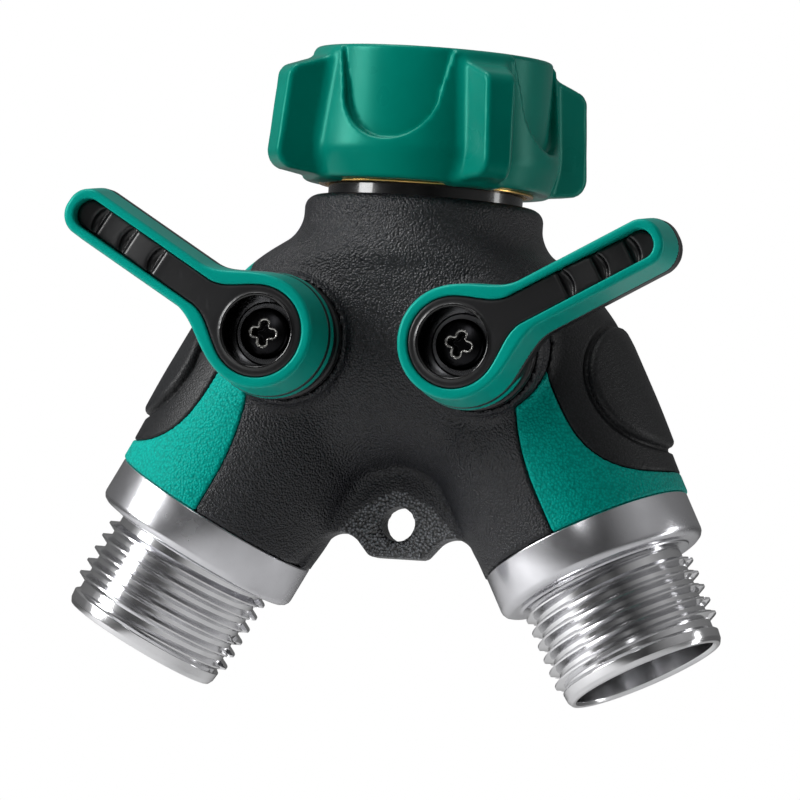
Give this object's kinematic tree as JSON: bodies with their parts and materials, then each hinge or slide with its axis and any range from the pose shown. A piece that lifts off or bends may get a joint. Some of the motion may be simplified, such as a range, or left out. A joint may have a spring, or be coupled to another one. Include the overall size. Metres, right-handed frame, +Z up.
{
  "type": "garden hose splitter",
  "caption": "Y-shaped garden hose splitter with a swivel inlet nut, lever ball valves on both legs, threaded metal outlets, rubber grip and hanging tab.",
  "frame": {"origin": "the middle of the inlet thread, on its axis", "axes": "+Z up the inlet axis towards the tap, -Y towards the side with the levers, X across the two outlets"},
  "size_m": [0.1014, 0.0565, 0.0978],
  "materials": {
    "zinc_black": "gloss black paint on zinc alloy",
    "tpr_black": "matte pebble-grained thermoplastic rubber",
    "tpr_green": "matte fine-grained thermoplastic rubber",
    "abs_green": "gloss",
    "lever_green": "satin",
    "abs_black": "semi-gloss",
    "pom_black": "satin",
    "brass": "turned",
    "brass_chrome": "polished",
    "nickel_satin": "satin nickel plate over turned brass",
    "spring_steel": "plain",
    "zinc_steel": "zinc plated",
    "screw_black": "black zinc plate",
    "ptfe": "waxy",
    "nbr_black": "smooth"
  },
  "bodies": {
    "body": {"body_casting": "zinc_black", "body_grip": "tpr_black", "retaining_ring": "spring_steel", "inlet_washer": "nbr_black", "grip_panel_left": "tpr_green", "thumb_pad_left": "tpr_black", "inner_seat_left": "ptfe", "outer_seat_left": "ptfe", "gland_left": "pom_black", "outlet_nipple_left": "nickel_satin", "nipple_seal_left": "nbr_black", "grip_panel_right": "tpr_green", "thumb_pad_right": "tpr_black", "inner_seat_right": "ptfe", "outer_seat_right": "ptfe", "gland_right": "pom_black", "outlet_nipple_right": "nickel_satin", "nipple_seal_right": "nbr_black"},
    "swivel_nut": {"nut_insert": "brass", "nut_cover": "abs_green"},
    "lever_left": {"lever_core_left": "abs_black", "lever_sleeve_left": "lever_green", "lever_washer_left": "zinc_steel", "lever_screw_left": "screw_black", "valve_stem_left": "brass", "stem_seals_left": "nbr_black"},
    "ball_left": {"valve_ball_left": "brass_chrome"},
    "lever_right": {"lever_core_right": "abs_black", "lever_sleeve_right": "lever_green", "lever_washer_right": "zinc_steel", "lever_screw_right": "screw_black", "valve_stem_right": "brass", "stem_seals_right": "nbr_black"},
    "ball_right": {"valve_ball_right": "brass_chrome"}
  },
  "joints": [
    {"name": "nut_spin", "type": "hinge", "parent": "body", "child": "swivel_nut", "pos_m": [0, 0, 0], "axis": [0, 0, 1], "continuous": true},
    {"name": "lever_turn_left", "type": "hinge", "parent": "body", "child": "lever_left", "pos_m": [-0.01526, 0, -0.039], "axis": [0, -1, 0], "range_deg": [0, 90]},
    {"name": "ball_turn_left", "type": "hinge", "parent": "body", "child": "ball_left", "pos_m": [-0.01526, 0, -0.039], "axis": [0, -1, 0], "range_deg": [0, 90]},
    {"name": "lever_turn_right", "type": "hinge", "parent": "body", "child": "lever_right", "pos_m": [0.01526, 0, -0.039], "axis": [0, 1, 0], "range_deg": [0, 90]},
    {"name": "ball_turn_right", "type": "hinge", "parent": "body", "child": "ball_right", "pos_m": [0.01526, 0, -0.039], "axis": [0, 1, 0], "range_deg": [0, 90]}
  ],
  "couplings": [
    {"joint": "ball_turn_left", "follows": "lever_turn_left", "ratio": 1},
    {"joint": "ball_turn_right", "follows": "lever_turn_right", "ratio": 1}
  ]
}
